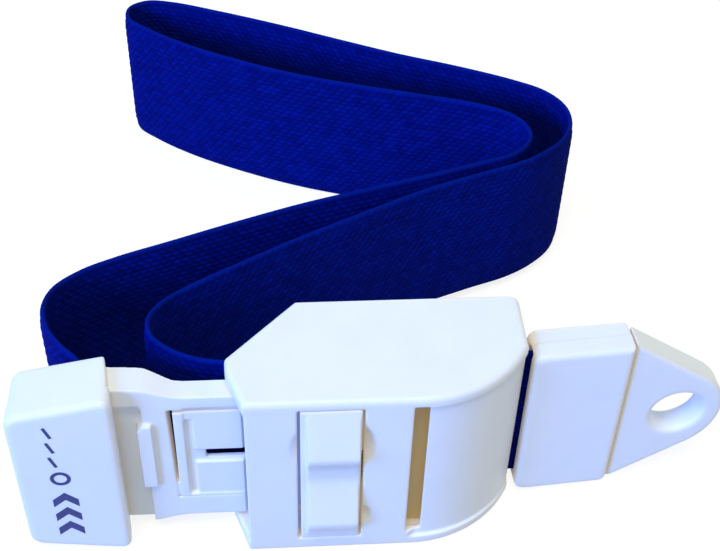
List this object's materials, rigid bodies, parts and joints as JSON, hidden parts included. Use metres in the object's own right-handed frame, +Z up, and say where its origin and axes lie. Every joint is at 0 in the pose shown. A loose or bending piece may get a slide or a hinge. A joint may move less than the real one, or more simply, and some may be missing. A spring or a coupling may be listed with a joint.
{
  "type": "tourniquet",
  "caption": "Elastic strap tourniquet with a quick-release buckle: plug-in clip, sprung release button, toothed strap clamp, and a strap end with a pull tab.",
  "frame": {"origin": "centre of the buckle housing's lower edge face, on which it stands", "axes": "+X along the buckle towards the pull tab, +Y from the button side to the arm side, +Z up across the strap's width"},
  "size_m": [0.0978, 0.1086, 0.0312],
  "materials": {
    "white_plastic": "satin moulded",
    "tan_plastic": "natural moulded",
    "spring_steel": "drawn",
    "blue_elastic": "woven elastic"
  },
  "bodies": {
    "housing": {"housing_shell": "white_plastic", "housing_back_cover": "white_plastic", "button_pin": "spring_steel", "button_spring": "spring_steel", "cam_axle": "spring_steel", "cam_spring": "spring_steel", "strap_loop": "blue_elastic"},
    "button": {"release_button": "white_plastic"},
    "cam": {"clamp_cam": "tan_plastic"},
    "clip": {"clip_tongue": "white_plastic", "block_front_shell": "white_plastic", "block_back_shell": "white_plastic", "block_pin_1": "white_plastic", "block_pin_2": "white_plastic", "anchor_pin": "spring_steel"},
    "tail": {"strap_tail": "blue_elastic", "grip_front_shell": "white_plastic", "grip_back_shell": "white_plastic", "grip_pin_1": "white_plastic", "grip_pin_2": "white_plastic", "pull_tab": "white_plastic"}
  },
  "joints": [
    {"name": "button_press", "type": "hinge", "parent": "housing", "child": "button", "pos_m": [-0.0012, -0.006, 0.0155], "axis": [0, 0, 1], "range_deg": [-5.5, 0], "stiffness_Nm_per_rad": 0.02, "springref_deg": 2.86, "deforming": ["button_spring"]},
    {"name": "cam_lift", "type": "hinge", "parent": "housing", "child": "cam", "pos_m": [0.0114, -0.0026, 0.0155], "axis": [0, 0, 1], "range_deg": [0, 5.5], "deforming": ["cam_spring"]},
    {"name": "clip_slide", "type": "slide", "parent": "housing", "child": "clip", "axis": [-1, 0, 0], "range_m": [0, 0.026], "deforming": ["strap_loop"]},
    {"name": "tail_slide", "type": "slide", "parent": "housing", "child": "tail", "axis": [1, 0, 0], "range_m": [0, 0.03]}
  ],
  "couplings": [
    {"joint": "cam_lift", "follows": "button_press", "ratio": -0.97}
  ]
}
